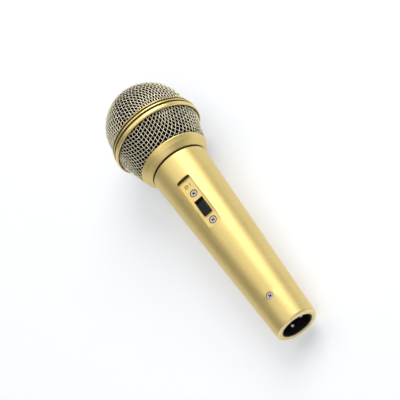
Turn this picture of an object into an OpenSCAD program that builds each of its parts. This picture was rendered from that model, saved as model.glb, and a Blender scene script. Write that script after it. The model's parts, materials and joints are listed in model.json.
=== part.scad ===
// Handheld dynamic microphone with a slide switch and a three-pin cable socket, lying on a table.
// Every piece is drawn on the microphone's own axis: z runs from the tail rim to the top of the
// grille, and +x is the side of the switch. lay_down() then sets the piece on the table, where
// the bowl ring and the tail rim are the two places that touch it.

/* [Handle] */
// Length of the shell, from the tail rim to the neck shoulder
handle_len = 112.6; // [96:0.2:136]
// Diameter of the shell at the neck shoulder
neck_d = 32.6; // [30:0.2:40]
// Diameter of the shell at the tail
tail_d = 22.8; // [22:0.2:28]
// Thickness of the shell's wall
handle_wall = 2.2; // [1.8:0.1:2.7]
// Radius of the rounded tail rim
rim_round = 1.5; // [0.8:0.1:2]
// Width of the shoulder that the neck ring lies on
shoulder_w = 1.4; // [1.1:0.1:1.8]
// Height of the threaded spigot above the shoulder
spigot_h = 6.6; // [5.4:0.1:8]
// Thickness of the spigot's wall
spigot_wall = 2.0; // [1.6:0.1:2.4]
// Lead of the neck thread, which is the head's rise in one turn
thread_pitch = 1.5; // [1.2:0.05:1.8]
// Depth of the neck thread
thread_depth = 0.6; // [0.4:0.05:0.75]
// Play between the spigot's thread and the collar's bore
thread_fit = 0.2; // [0.15:0.05:0.3]

/* [Head] */
// Diameter over the band, which is the widest place
head_d = 52.2; // [50:0.2:64]
// Height of the threaded collar
collar_h = 6.0; // [5:0.1:7.2]
// How far the collar's lip stands outside the neck
collar_flare = 3.6; // [3:0.1:4.4]
// Height of the open bowl between the collar and the band
bowl_h = 15.2; // [12.6:0.1:18]
// Height of the bowl ring, the lower and wider ring of the band
bowl_ring_h = 2.7; // [2.2:0.1:3.3]
// Height of the dome ring, the upper ring of the band, with its groove and its thin lip
dome_ring_h = 3.8; // [3.2:0.1:4.5]
// How far the bowl ring stands outside the lower grille
bowl_step = 1.3; // [1:0.05:1.6]
// How far the bowl ring stands outside the dome
dome_step = 1.9; // [1.75:0.05:2.3]
// Height of the dome's centre above the band
dome_lift = 4.0; // [3.2:0.1:4.8]
// Wall of the grilles
grille_wall = 0.6; // [0.5:0.05:0.75]
// Radius on the edges of the two band rings
ring_round = 0.8; // [0.6:0.05:0.95]
// Thickness of the foam lining
foam_wall = 4.0; // [3.2:0.1:4.4]
// Space between the foam lining and the grilles
foam_gap = 0.3; // [0.2:0.05:0.5]

/* [Neck ring] */
// Thickness of the rubber ring between the shoulder and the collar
seal_t = 0.8; // [0.6:0.1:1.2]
// How far the rubber ring is set back from the shell
seal_inset = 0.2; // [0.1:0.05:0.3]
// Space above and below the rubber ring
seal_gap = 0.05; // [0.02:0.01:0.1]

/* [Switch] */
// Distance from the neck shoulder to the middle of the slot
switch_from_neck = 34.3; // [29:0.1:41]
// Length of the recess from the middle of the slot towards the head
recess_head = 19.5; // [17:0.1:23]
// Length of the recess from the middle of the slot towards the tail
recess_tail = 12.3; // [12:0.1:14.7]
// Width of the recess
recess_w = 8.2; // [7.6:0.1:9.8]
// Radius of the recess's corners
recess_corner = 1.1; // [0.8:0.1:1.4]
// Depth of the recess at its tail end
recess_drop = 0.7; // [0.6:0.05:0.85]
// Thickness of the metal under the recess
pad_t = 1.5; // [1.3:0.05:1.8]
// Length of the slot
slot_len = 10.5; // [9.8:0.1:12.6]
// Width of the slot
slot_w = 5.3; // [4.6:0.1:5.6]
// Length of the knob
knob_len = 7.2; // [6:0.1:7.4]
// Height of the knob's top over the floor of the recess
knob_h = 1.9; // [1.6:0.1:2.3]
// Play of the slider on each side of its slot
slider_fit = 0.2; // [0.12:0.02:0.25]
// Distance between the two switch screws
screw_pitch = 18.9; // [18.2:0.1:19.4]
// Diameter of the switch screws' heads
screw_head_d = 3.4; // [3:0.1:3.7]
// Diameter of the wells that the heads sit in
screw_well_d = 4.2; // [3.9:0.1:4.6]
// Depth of the wells
screw_well_depth = 0.9; // [0.75:0.05:1]
// Diameter of the screws' threads
screw_d = 2.0; // [1.7:0.1:2.4]
// Play of a screw's thread in its hole
screw_fit = 0.05; // [0.03:0.01:0.1]

/* [Socket] */
// Inner diameter of the socket
socket_d = 16.1; // [13.5:0.1:18]
// Depth of the socket, from the rim to the floor that holds the pins
socket_depth = 14.0; // [12:0.2:16.8]
// Wall of the insert around the plug
insert_wall = 0.55; // [0.45:0.05:0.7]
// Thickness of the insert's floor
insert_floor = 6.6; // [5.5:0.1:8]
// Play between the insert and the shell
insert_fit = 0.05; // [0.03:0.01:0.1]
// How far the insert's edge lies inside the rim
insert_inset = 0.6; // [0.3:0.1:1]
// Diameter of the contact pins
pin_d = 2.4; // [2:0.1:2.9]
// Radius of the circle that the pins stand on
pin_circle_r = 4.3; // [3.7:0.1:5]
// How far the pins' tips lie inside the rim
pin_tip_inset = 2.6; // [2:0.1:3.2]
// Width of the keyway in the socket's wall
key_w = 1.8; // [1.5:0.1:2.2]
// Diameter of the retaining screw's head
retainer_head_d = 3.6; // [3:0.1:4]
// Diameter of the retaining screw's well
retainer_well_d = 4.0; // [3.7:0.1:4.6]
// Depth of the retaining screw's well
retainer_well_depth = 1.3; // [1.1:0.05:1.5]

/* [Capsule] */
// Thickness of the shock mount's skirt inside the spigot
mount_skirt = 0.9; // [0.75:0.05:1.1]
// Depth of the shock mount's skirt inside the spigot
mount_skirt_h = 3.2; // [2.6:0.1:3.8]
// Height of the shock mount above the spigot
mount_h = 4.8; // [4:0.1:5.8]
// Height of the capsule's frame
frame_h = 12.5; // [11:0.1:14.5]
// Thickness of the frame's wall
frame_wall = 1.7; // [1.4:0.1:1.9]
// Height of the cap over the diaphragm
cap_h = 3.8; // [3.2:0.1:4.6]
// Wall of the magnet cup
cup_wall = 1.1; // [0.9:0.05:1.3]
// Width of the gap that the voice coil moves in
coil_gap = 0.9; // [0.8:0.05:1]
// Thickness of the voice coil
coil_wall = 0.35; // [0.3:0.01:0.4]
// Height of the diaphragm's dome
diaphragm_h = 2.2; // [1.9:0.1:2.6]
// Length of the chamber behind the capsule
chamber_h = 13.0; // [10.9:0.1:15.6]
// Diameter of the lead wires
wire_d = 1.3; // [1.1:0.1:1.6]

/* [Hidden] */
$fn = 96;
arc_steps = 10;     // straight steps in one rounded edge of an outline
eps = 0.01;         // overlap of a cutting shape past the face that it cuts
past = 1;           // how far a cut starts outside the face that it cuts
far = 60;           // reaches past every piece
edge_break = 0.3;   // small bevel on turned metal edges

// radii of the neck and of what screws onto it
neck_r = neck_d / 2;
tail_r = tail_d / 2;
thread_r = neck_r - shoulder_w;
spigot_in_r = thread_r - spigot_wall;
collar_bore_r = thread_r + thread_fit;
lip_r = neck_r + collar_flare;
collar_foot_r = neck_r + 0.5;
thread_end = 0.8;       // plain height above the last groove
thread_turns = floor((spigot_h - seal_t - thread_end) / thread_pitch);

// one thread groove, as shares of the pitch: flank, floor and the whole groove
groove_flank = 0.35;
groove_floor = 0.1;
groove_width = 0.8;
collar_groove_start = 0.5;

// heights along the axis
z_spigot = handle_len + spigot_h;
z_collar = handle_len + seal_t;
z_lip = z_collar + collar_h;
z_band = z_lip + bowl_h;
z_split = z_band + bowl_ring_h;
z_band_top = z_split + dome_ring_h;
z_dome = z_band_top + dome_lift;

// radii of the head
band_r = head_d / 2;
bowl_r = band_r - bowl_step;
dome_r = band_r - dome_step;
dome_ring_r = band_r - 0.15;
bowl_foot_r = lip_r + 0.7;
lip_wall = 0.7;
bowl_seat_r = lip_r - lip_wall;
seat_depth = 0.5;
seat_width = 1.5 * grille_wall;
bowl_bulge = 0.35;
bowl_tuck_h = 1.6;
bowl_tuck = 0.3;

// the collar's flare and lip: the middle of the flare is a share of its width and height
flare_out = 0.62;
flare_up = 0.45;
lip_bevel = 0.45;
lip_bevel_h = 1.5;
lip_h = 0.6;
lip_edge = 0.15;
split_gap = 0.5;
split_depth = 0.8;

// the dome ring's thin lip, and the groove between it and the round ridge below
dome_lip_h = 1.1;
dome_lip_inset = 0.5;
dome_groove_h = 0.55;
z_dome_lip = z_band_top - dome_lip_h;
z_ridge_top = z_dome_lip - dome_groove_h;

// the tail rim and the place where the shell's cone starts
socket_r = socket_d / 2;
insert_r = socket_r + insert_wall;
bore_r = insert_r + insert_fit;
rim_r = min(rim_round, 0.8 * (tail_r - bore_r));
bore_end = socket_depth + insert_floor + 0.4;
bore_step = 2;
rim_chamfer = 0.25;
cavity_top = handle_len - 6;
cavity_neck = handle_len - 3.4;
shoulder_edge = 0.35;

// the microphone tilts until the bowl ring and the tail rim both touch the table
ring_arc_z = z_band + ring_round;
ring_arc_r = band_r - ring_round;
touch_z = ring_arc_z - rim_r;
touch_r = ring_arc_r - (tail_r - rim_r);
tilt = atan2(touch_r, touch_z) - asin((rim_r - ring_round) / norm([touch_z, touch_r]));
lift = (tail_r - rim_r) * cos(tilt) - rim_r * sin(tilt) + rim_r;
x_low = -z_dome * cos(tilt) - dome_r;
x_high = (tail_r - rim_r) * sin(tilt) - rim_r * cos(tilt) + rim_r;
x_middle = (x_low + x_high) / 2;

// the switch
z_slot = handle_len - switch_from_neck;
z_recess_head = z_slot + recess_head;
z_recess_tail = z_slot - recess_tail;
z_recess = (z_recess_head + z_recess_tail) / 2;
recess_len = z_recess_head - z_recess_tail;
screw_heights = [z_slot - screw_pitch / 2, z_slot + screw_pitch / 2];
floor_x = shell_r(z_recess_tail) - recess_drop;
pad_x = floor_x - pad_t;
pad_edge = 2.2;
pocket_w = recess_w + 0.6;
pocket_len = screw_pitch + 6.6;
pocket_play = 0.2;
plate_t = 0.8;
plate_w = pocket_w - 2 * pocket_play;
plate_len = pocket_len - 2 * pocket_play;
can_len = slot_len + 3.4;
can_w = plate_w - 0.6;
can_depth = 5.2;
can_wall = 0.5;
base_t = 1.0;
slider_plate_t = 0.9;
slider_plate_over = 1.2;
slider_plate_w = can_w - 2 * can_wall - 2 * slider_fit;
plate_x = pad_x - plate_t;
can_x = plate_x - can_depth;
knob_w = slot_w - 2 * slider_fit;
knob_z = z_slot - slot_len / 2 + slider_fit + knob_len / 2;
knob_corner = 0.4;
knob_ribs = 5;
rib_pitch = knob_len / (knob_ribs + 1);
rib_depth = 0.35;
rib_margin = 0.45;
contact_w = 2.6;
contact_len = 5.2;
contact_t = 0.3;
contact_h = 1.6;
lug_len = 3.0;
lug_w = 1.6;
lug_t = 0.4;
lug_pitch = 4.0;
lug_hole_r = 0.4;
lug_hole_z = 0.9;
screw_sink = 0.1;
screw_reach = 1.2;
cross_share = 0.62;
mark_r = 0.85;
mark_line = 0.3;
mark_depth = 0.15;
mark_gap = 2.4;
z_mark = z_slot + screw_pitch / 2 + 5.4;

// the socket
pin_angles = [-22, 98, 218];
pin_cup_len = 4;
pin_cup_r = 0.8;
pin_r = pin_d / 2;
pin_shank_r = pin_r + 0.3;
key_angle = -41;
key_depth = 1.0;
key_len = 3.2;
guide_angles = [146, 188];
guide_w = 0.9;
guide_h = 0.45;
guide_inset = 0.2;
z_retainer = socket_depth + insert_floor / 2 - 0.6;
retainer_d = 2.5;
retainer_clear = 0.5;     // between the screw's tip and a pin's shank
retainer_tip_x = pin_circle_r + pin_shank_r + retainer_clear;
retainer_end = 0.3;
retainer_sink = 0.4;
cross_w = 0.5;
cross_depth = 0.6;

// the capsule
frame_r = spigot_in_r - mount_skirt;
mount_r = thread_r - 0.5;
mount_flange = 1.2;
mount_groove_h = 1.6;
mount_groove_z = 1.6;
mount_bevel = 0.6;
z_frame = z_spigot - mount_skirt_h;
z_cap = z_frame + frame_h;
frame_floor = 1.4;
frame_vent_r = 2.2;
cup_r = frame_r - frame_wall;
cup_floor = 1.6;
z_cup = z_frame + frame_floor;
cup_h = frame_h - frame_floor - 3.1;
z_cup_top = z_cup + cup_h;
cup_bore_r = cup_r - cup_wall;
pole_r = cup_bore_r - coil_gap;
pole_h = 2.2;
magnet_r = pole_r - 0.7;
coil_in_r = pole_r + 0.25;
coil_r = coil_in_r + coil_wall;
coil_dip = 1.8;
z_diaphragm = z_cup_top + 1.6;
diaphragm_t = 0.15;
surround_r = frame_r - 0.9;
surround_t = 0.15;
surround_flat = 0.2;
z_seat = z_diaphragm - 0.4;
cap_wall = 0.9;
cap_roof = 1.0;
cap_bevel = 0.5;
cap_hole_r = 1.15;
cap_hole_pitch = 3.9;
felt_t = 0.7;
felt_play = 0.1;
chamber_wall = 1.0;
chamber_bevel = 0.6;
chamber_r = frame_r - 2.4;
z_chamber = z_frame - chamber_h;
terminal_y = 3;
terminal_h = 3.4;

// lead wires: points chosen along each route, from the front end to the rear end
wire_r = wire_d / 2;
strand_r = 0.6 * wire_r;
wire_sides = 8;
z_terminal = z_chamber - terminal_h;
z_solder = socket_depth + insert_floor + pin_cup_len;
lug_x = can_x - base_t - lug_len;

// ---- shared shapes -------------------------------------------------------------------------

// radius of the shell's outer cone at a height on the axis
function shell_r(z) = tail_r + (neck_r - tail_r) * (z - rim_r) / (handle_len - rim_r);

// points of an arc in an outline, from angle a to angle b
function arc(centre, r, a, b) =
    [for (i = [0 : arc_steps]) centre + r * [cos(a + (b - a) * i / arc_steps),
                                             sin(a + (b - a) * i / arc_steps)]];

// a piece drawn on the axis is set down on the table
module lay_down() {
    translate([-x_middle, 0, lift]) rotate([0, tilt - 90, 0]) children();
}

// an outline in radius and height, turned round the axis
module turned(outline) {
    rotate_extrude() polygon(outline);
}

// a plain ring from height z, h tall
module ring(r_out, r_in, z, h) {
    translate([0, 0, z]) difference() {
        cylinder(r = r_out, h = h);
        translate([0, 0, -eps]) cylinder(r = r_in, h = h + 2 * eps);
    }
}

// a box whose near face is at x, centred across and on height z
module slab(x, thick, wide, long, z) {
    translate([x, -wide / 2, z - long / 2]) cube([thick, wide, long]);
}

// a rounded rectangle standing on the switch side, from depth x outwards
module rounded_slab(x, thick, wide, long, z, corner) {
    inner_w = wide / 2 - corner;
    inner_l = long / 2 - corner;
    translate([x, 0, z]) rotate([0, 90, 0]) linear_extrude(thick) {
        square([long - 2 * corner, wide], center = true);
        square([long, wide - 2 * corner], center = true);
        for (u = [-inner_l, inner_l], v = [-inner_w, inner_w]) translate([u, v]) circle(corner);
    }
}

// a round bar that points to the switch side
module radial_bar(r, x, len, z) {
    translate([x, 0, z]) rotate([0, 90, 0]) cylinder(r = r, h = len);
}

// a cross recess cut into a screw's head whose top is at x
module cross_recess(x, z, span) {
    for (turn = [0, 90]) translate([x - cross_depth, 0, z]) rotate([turn + 45, 0, 0])
        translate([0, -cross_w / 2, -span / 2]) cube([cross_depth + eps, cross_w, span]);
}

// a smooth curve through a route's points, with steps rings between each two of them
function curve_point(p, i, u) =
    let (n = len(p) - 1, a = p[max(i - 1, 0)], b = p[i], c = p[min(i + 1, n)],
         d = p[min(i + 2, n)])
    0.5 * (2 * b + (c - a) * u + (2 * a - 5 * b + 4 * c - d) * pow(u, 2)
           + (3 * b - a - 3 * c + d) * pow(u, 3));
function route(p, steps) = concat(
    [for (i = [0 : len(p) - 2], j = [0 : steps - 1]) curve_point(p, i, j / steps)],
    [p[len(p) - 1]]);
function unit(v) = v / norm(v);
function heading(p, i) = unit(p[min(i + 1, len(p) - 1)] - p[max(i - 1, 0)]);

// a tube swept along a route that runs mostly along the axis
module tube(p, r) {
    n = wire_sides;
    last = len(p) - 1;
    points = [for (i = [0 : last]) let (t = heading(p, i), u = unit(cross(t, [0, 1, 0])),
                                        v = cross(t, u))
              for (k = [0 : n - 1]) p[i] + r * (cos(360 * k / n) * u + sin(360 * k / n) * v)];
    sides = [for (i = [0 : last - 1], k = [0 : n - 1])
             [i * n + k, i * n + (k + 1) % n, (i + 1) * n + (k + 1) % n, (i + 1) * n + k]];
    front = [for (k = [n - 1 : -1 : 0]) k];
    rear = [for (k = [0 : n - 1]) last * n + k];
    polyhedron(points, concat(sides, [front, rear]));
}

// ---- handle --------------------------------------------------------------------------------

// one thread groove in the spigot's outline
function spigot_groove(z) = [
    [thread_r, z],
    [thread_r - thread_depth, z + thread_pitch * groove_flank],
    [thread_r - thread_depth, z + thread_pitch * (groove_flank + groove_floor)],
    [thread_r, z + thread_pitch * groove_width]
];

// the outside of the shell and its spigot, solid
module shell_outside() {
    groove_start = z_collar + edge_break;
    turned(concat(
        [[0, 0]],
        arc([tail_r - rim_r, rim_r], rim_r, -90, 0),
        [[shell_r(handle_len - shoulder_edge), handle_len - shoulder_edge],
         [neck_r - shoulder_edge, handle_len], [thread_r, handle_len]],
        [for (i = [0 : thread_turns - 1]) each spigot_groove(groove_start + i * thread_pitch)],
        [[thread_r, z_spigot - edge_break], [thread_r - edge_break, z_spigot], [0, z_spigot]]
    ));
}

// the room inside the shell, from the spigot down to the socket
module cavity() {
    difference() {
        turned([
            [0, -past], [bore_r + rim_chamfer + past, -past], [bore_r, rim_chamfer],
            [bore_r, bore_end],
            [max(shell_r(bore_end + bore_step) - handle_wall, bore_r), bore_end + bore_step],
            [shell_r(cavity_top) - handle_wall, cavity_top], [spigot_in_r, cavity_neck],
            [spigot_in_r, z_spigot + past], [0, z_spigot + past]
        ]);
        switch_pad();
    }
}

// the thick flat place inside the shell that carries the switch
module switch_pad() {
    slab(pad_x, far, recess_w + 2 * pad_edge, recess_len + 2 * pad_edge, z_recess);
}

// the letterless marks beside the slot: a ring for off and a bar for on
module switch_marks() {
    translate([floor_x - mark_depth, -mark_gap / 2, z_mark]) rotate([0, 90, 0])
        difference() {
            cylinder(r = mark_r, h = far);
            translate([0, 0, -eps]) cylinder(r = mark_r - mark_line, h = far + past);
        }
    translate([floor_x - mark_depth, mark_gap / 2 - mark_line / 2, z_mark - mark_r])
        cube([far, mark_line, 2 * mark_r]);
}

module handle() {
    color("goldenrod") lay_down() difference() {
        shell_outside();
        cavity();
        rounded_slab(floor_x, far, recess_w, recess_len, z_recess, recess_corner);
        slab(-past, pad_x + past, pocket_w, pocket_len, z_slot);
        slab(0, far, slot_w, slot_len, z_slot);
        for (z = screw_heights) {
            radial_bar(screw_well_d / 2, floor_x - screw_well_depth, far, z);
            radial_bar(screw_d / 2, 0, far, z);
        }
        switch_marks();
        radial_bar(retainer_well_d / 2, shell_r(z_retainer) - retainer_well_depth, far,
                   z_retainer);
        radial_bar(retainer_d / 2, 0, far, z_retainer);
        key_cut(key_depth + insert_fit);
    }
}

module neck_seal_ring() {
    color("black") lay_down()
        ring(neck_r - seal_inset, thread_r + thread_fit, handle_len + seal_gap,
             seal_t - 2 * seal_gap);
}

// ---- head ----------------------------------------------------------------------------------

// one thread groove in the collar's bore
function collar_groove(z) = [
    [collar_bore_r, z + thread_pitch * groove_width],
    [collar_bore_r + thread_depth, z + thread_pitch * (groove_flank + groove_floor)],
    [collar_bore_r + thread_depth, z + thread_pitch * groove_flank],
    [collar_bore_r, z]
];

module grille_collar() {
    flare_mid = [collar_foot_r + flare_out * (lip_r - collar_foot_r),
                 z_collar + flare_up * collar_h];
    color("gold") lay_down() turned(concat(
        [[collar_bore_r + edge_break, z_collar], [collar_foot_r - edge_break, z_collar],
         [collar_foot_r, z_collar + edge_break], flare_mid],
        [[lip_r - lip_bevel, z_lip - lip_bevel_h], [lip_r, z_lip - lip_h],
         [lip_r, z_lip - lip_edge], [lip_r - lip_edge, z_lip], [bowl_seat_r, z_lip],
         [bowl_seat_r, z_lip - seat_depth], [bowl_seat_r - seat_width, z_lip - seat_depth],
         [bowl_seat_r - 2 * seat_width, z_lip - 2 * seat_depth],
         [collar_bore_r, z_lip - 2 * seat_depth]],
        [for (i = [thread_turns - 2 : -1 : 0])
            each collar_groove(z_collar + collar_groove_start + i * thread_pitch)],
        [[collar_bore_r, z_collar + edge_break]]
    ));
}

// the lower grille's outer line, offset inwards by wall
function bowl_line(wall) = concat(
    [[bowl_seat_r - wall, z_lip - seat_depth], [bowl_seat_r - wall, z_lip],
     [bowl_foot_r - bowl_tuck - wall, z_lip + bowl_tuck_h / 2],
     [bowl_foot_r - wall, z_lip + bowl_tuck_h]],
    [for (i = [1 : arc_steps - 1]) let (u = i / arc_steps)
        [bowl_foot_r - wall + (bowl_r - bowl_foot_r) * u + bowl_bulge * sin(180 * u),
         z_lip + bowl_tuck_h + (z_band - z_lip - bowl_tuck_h) * u]],
    [[bowl_r - wall, z_band], [bowl_r - wall, z_split]]);

function reversed(p) = [for (i = [len(p) - 1 : -1 : 0]) p[i]];

module lower_grille() {
    color("tan") lay_down() turned(concat(bowl_line(0), reversed(bowl_line(grille_wall))));
}

module bowl_ring() {
    color("gold") lay_down() turned(concat(
        [[bowl_r, z_band]],
        arc([band_r - ring_round, z_band + ring_round], ring_round, -90, 0),
        arc([band_r - ring_round, z_split - ring_round], ring_round, 0, 90),
        [[bowl_r, z_split]]
    ));
}

module dome_ring() {
    floor_r = dome_ring_r - split_depth;
    lip_r = dome_ring_r - dome_lip_inset;
    ridge_z = z_split + split_gap;
    r = min(ring_round, 0.4 * (z_ridge_top - ridge_z));
    lip_round = 0.4 * dome_lip_h;
    color("gold") lay_down() turned(concat(
        [[dome_r, z_split], [floor_r, z_split], [floor_r, ridge_z]],
        arc([dome_ring_r - r, ridge_z + r], r, -90, 0),
        arc([dome_ring_r - r, z_ridge_top - r], r, 0, 90),
        [[floor_r, z_ridge_top], [floor_r, z_dome_lip]],
        arc([lip_r - lip_round, z_dome_lip + lip_round], lip_round, -90, 0),
        arc([lip_r - lip_round, z_band_top - lip_round], lip_round, 0, 90),
        [[dome_r, z_band_top]]
    ));
}

// a dome on a short upright wall, down to height z
module dome(r, z) {
    translate([0, 0, z_dome]) sphere(r = r);
    translate([0, 0, z]) cylinder(r = r, h = z_dome - z);
}

// the space between two domes, above height z
module dome_shell(r, wall, z) {
    difference() {
        intersection() {
            dome(r, z);
            translate([0, 0, z]) cylinder(r = far, h = far);
        }
        dome(r - wall, z - past);
    }
}

module upper_grille() {
    color("tan") lay_down() dome_shell(dome_r, grille_wall, z_split);
}

module foam_dome() {
    color("dimgray") lay_down() dome_shell(dome_r - grille_wall - foam_gap, foam_wall, z_split);
}

module foam_sleeve() {
    inset = grille_wall + foam_gap;
    foot_z = z_lip + bowl_tuck_h;
    top_z = z_split - foam_gap;
    slope = (bowl_r - bowl_foot_r) / (z_band - foot_z);
    foam_top_r = min(bowl_r, dome_r) - inset;
    color("dimgray") lay_down() turned([
        [bowl_foot_r - inset - foam_wall, foot_z], [bowl_foot_r - inset, foot_z],
        [foam_top_r, foot_z + (foam_top_r - bowl_foot_r + inset) / slope],
        [foam_top_r, top_z], [foam_top_r - foam_wall, top_z]
    ]);
}

// ---- capsule -------------------------------------------------------------------------------

module shock_mount() {
    groove_z = z_spigot + mount_groove_z;
    color("black") lay_down() turned([
        [frame_r, z_frame], [spigot_in_r, z_frame], [spigot_in_r, z_spigot],
        [mount_r, z_spigot], [mount_r, z_spigot + mount_h - mount_bevel],
        [mount_r - mount_bevel, z_spigot + mount_h], [frame_r, z_spigot + mount_h],
        [frame_r, groove_z + mount_groove_h], [frame_r + mount_flange, groove_z + mount_groove_h],
        [frame_r + mount_flange, groove_z], [frame_r, groove_z]
    ]);
}

module capsule_frame() {
    groove_z = z_spigot + mount_groove_z;
    color("dimgray") lay_down() turned([
        [frame_vent_r, z_frame], [frame_r, z_frame], [frame_r, groove_z],
        [frame_r + mount_flange, groove_z], [frame_r + mount_flange, groove_z + mount_groove_h],
        [frame_r, groove_z + mount_groove_h], [frame_r, z_cap], [surround_r, z_cap],
        [surround_r, z_seat], [cup_r, z_seat], [cup_r, z_cup], [frame_vent_r, z_cup]
    ]);
}

module magnet_cup() {
    color("silver") lay_down() turned([
        [frame_vent_r, z_cup], [cup_r, z_cup], [cup_r, z_cup_top], [cup_bore_r, z_cup_top],
        [cup_bore_r, z_cup + cup_floor], [frame_vent_r, z_cup + cup_floor]
    ]);
}

module magnet() {
    h = cup_h - cup_floor - pole_h;
    color("gray") lay_down() ring(magnet_r, frame_vent_r, z_cup + cup_floor, h);
}

module pole_plate() {
    color("silver") lay_down() ring(pole_r, frame_vent_r, z_cup_top - pole_h, pole_h);
}

module voice_coil() {
    z = z_cup_top - coil_dip;
    color("peru") lay_down() ring(coil_r, coil_in_r, z, z_diaphragm - z);
}

// radius of the sphere that the diaphragm's dome is part of
function cap_sphere(r, h) = (pow(r, 2) + pow(h, 2)) / (2 * h);

module diaphragm_dome() {
    big = cap_sphere(coil_r, diaphragm_h);
    color("lightyellow") lay_down() translate([0, 0, z_diaphragm]) intersection() {
        translate([0, 0, diaphragm_h - big]) difference() {
            sphere(r = big);
            sphere(r = big - diaphragm_t);
        }
        cylinder(r = coil_r, h = diaphragm_h + past);
    }
}

module diaphragm_surround() {
    mid = (surround_r + coil_r) / 2;
    half = (surround_r - coil_r) / 2 - surround_flat;
    color("lightyellow") lay_down() turned(concat(
        [[coil_r, z_diaphragm]],
        arc([mid, z_diaphragm], half - surround_t, 180, 0),
        [[surround_r, z_diaphragm]],
        [[surround_r, z_diaphragm + surround_t]],
        arc([mid, z_diaphragm + surround_t], half, 0, 180),
        [[coil_r, z_diaphragm + surround_t]]
    ));
}

// the cap's holes: one in the middle and two rings of them
module cap_holes() {
    cylinder(r = cap_hole_r, h = far);
    for (row = [1, 2], i = [0 : 6 * row - 1]) rotate([0, 0, i * 60 / row])
        translate([row * cap_hole_pitch, 0, 0]) cylinder(r = cap_hole_r, h = far);
}

module capsule_cap() {
    top = z_cap + cap_h;
    color("dimgray") lay_down() difference() {
        turned([
            [0, top - cap_roof], [frame_r - cap_wall, top - cap_roof],
            [frame_r - cap_wall, z_cap], [frame_r, z_cap], [frame_r, top - cap_bevel],
            [frame_r - cap_bevel, top], [0, top]
        ]);
        translate([0, 0, z_cap]) cap_holes();
    }
}

module capsule_felt() {
    color("gray") lay_down() translate([0, 0, z_cap + cap_h - cap_roof - felt_t])
        cylinder(r = frame_r - cap_wall - felt_play, h = felt_t);
}

module rear_chamber() {
    color("dimgray") lay_down() turned([
        [0, z_chamber], [chamber_r - chamber_bevel, z_chamber],
        [chamber_r, z_chamber + chamber_bevel],
        [chamber_r, z_frame], [chamber_r - chamber_wall, z_frame],
        [chamber_r - chamber_wall, z_chamber + chamber_wall], [0, z_chamber + chamber_wall]
    ]);
}

// a flat solder lug with a hole, standing in the plane across y
module lug(len) {
    difference() {
        translate([-lug_w / 2, -lug_t / 2, 0]) cube([lug_w, lug_t, len]);
        translate([0, past, lug_hole_z]) rotate([90, 0, 0])
            cylinder(r = lug_hole_r, h = 2 * past);
    }
}

module capsule_terminals() {
    color("khaki") lay_down() for (side = [-1, 1])
        translate([0, side * terminal_y, z_terminal]) lug(terminal_h);
}

// ---- switch --------------------------------------------------------------------------------

module switch_plate() {
    color("silver") lay_down() difference() {
        slab(plate_x, plate_t, plate_w, plate_len, z_slot);
        slab(0, far, slot_w, slot_len, z_slot);
        for (z = screw_heights) radial_bar(screw_d / 2, 0, far, z);
    }
}

module switch_can() {
    color("silver") lay_down() difference() {
        slab(can_x, can_depth, can_w, can_len, z_slot);
        slab(can_x - eps, can_depth + past, can_w - 2 * can_wall, can_len - 2 * can_wall, z_slot);
    }
}

module switch_base() {
    color("sienna") lay_down() slab(can_x - base_t, base_t, can_w, can_len, z_slot);
}

module switch_terminals() {
    color("khaki") lay_down() for (i = [-1 : 1]) difference() {
        slab(lug_x, lug_len, lug_w, lug_t, z_slot + i * lug_pitch);
        translate([lug_x + lug_hole_z, 0, z_slot + i * lug_pitch - past])
            cylinder(r = lug_hole_r, h = 2 * past);
    }
}

module switch_slider() {
    top_x = floor_x + knob_h;
    base_x = plate_x - 2 * slider_plate_t;
    guide_len = knob_len + 2 * slider_plate_over;
    color("black") lay_down() {
        difference() {
            rounded_slab(base_x, top_x - base_x, knob_w, knob_len, knob_z, knob_corner);
            for (i = [0 : knob_ribs - 1])
                slab(top_x - rib_depth, past, knob_w - 2 * rib_margin, rib_pitch / 2,
                     knob_z + (i - (knob_ribs - 1) / 2) * rib_pitch);
        }
        slab(base_x, slider_plate_t, slider_plate_w, guide_len, knob_z);
    }
}

module switch_contact() {
    contact_x = plate_x - 2 * slider_plate_t - contact_h;
    leg_z = (contact_len - contact_t) / 2;
    color("gold") lay_down() {
        slab(contact_x + contact_h - contact_t, contact_t, contact_w, contact_len, knob_z);
        for (z = [knob_z - leg_z, knob_z + leg_z])
            slab(contact_x, contact_h, contact_w, contact_t, z);
    }
}

module switch_screws() {
    head_x = floor_x - screw_well_depth;
    top_x = floor_x - screw_sink;
    tip_x = plate_x - screw_reach;
    color("silver") lay_down() for (z = screw_heights) difference() {
        union() {
            radial_bar(screw_head_d / 2, head_x, top_x - head_x, z);
            radial_bar(screw_d / 2 - screw_fit, tip_x, head_x + screw_sink - tip_x, z);
        }
        cross_recess(top_x, z, cross_share * screw_head_d);
    }
}

// ---- socket --------------------------------------------------------------------------------

// the keyway, cut from the rim inwards and depth deep past the socket's wall
module key_cut(depth) {
    rotate([0, 0, key_angle]) translate([socket_r - past, -key_w / 2, -past])
        cube([depth + past, key_w, key_len + past]);
}

module socket_insert() {
    color("black") lay_down() difference() {
        union() {
            turned([
                [0, socket_depth], [socket_r, socket_depth], [socket_r, insert_inset],
                [insert_r, insert_inset], [insert_r, socket_depth + insert_floor],
                [0, socket_depth + insert_floor]
            ]);
            for (a = guide_angles) rotate([0, 0, a])
                translate([socket_r - guide_h, -guide_w / 2, insert_inset + guide_inset])
                    cube([guide_h + insert_wall / 2, guide_w, socket_depth - insert_inset]);
        }
        key_cut(key_depth);
        for (a = pin_angles) rotate([0, 0, a]) translate([pin_circle_r, 0, 0])
            cylinder(r = pin_shank_r, h = far);
        radial_bar(retainer_d / 2, retainer_tip_x - retainer_end, far, z_retainer);
    }
}

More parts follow.
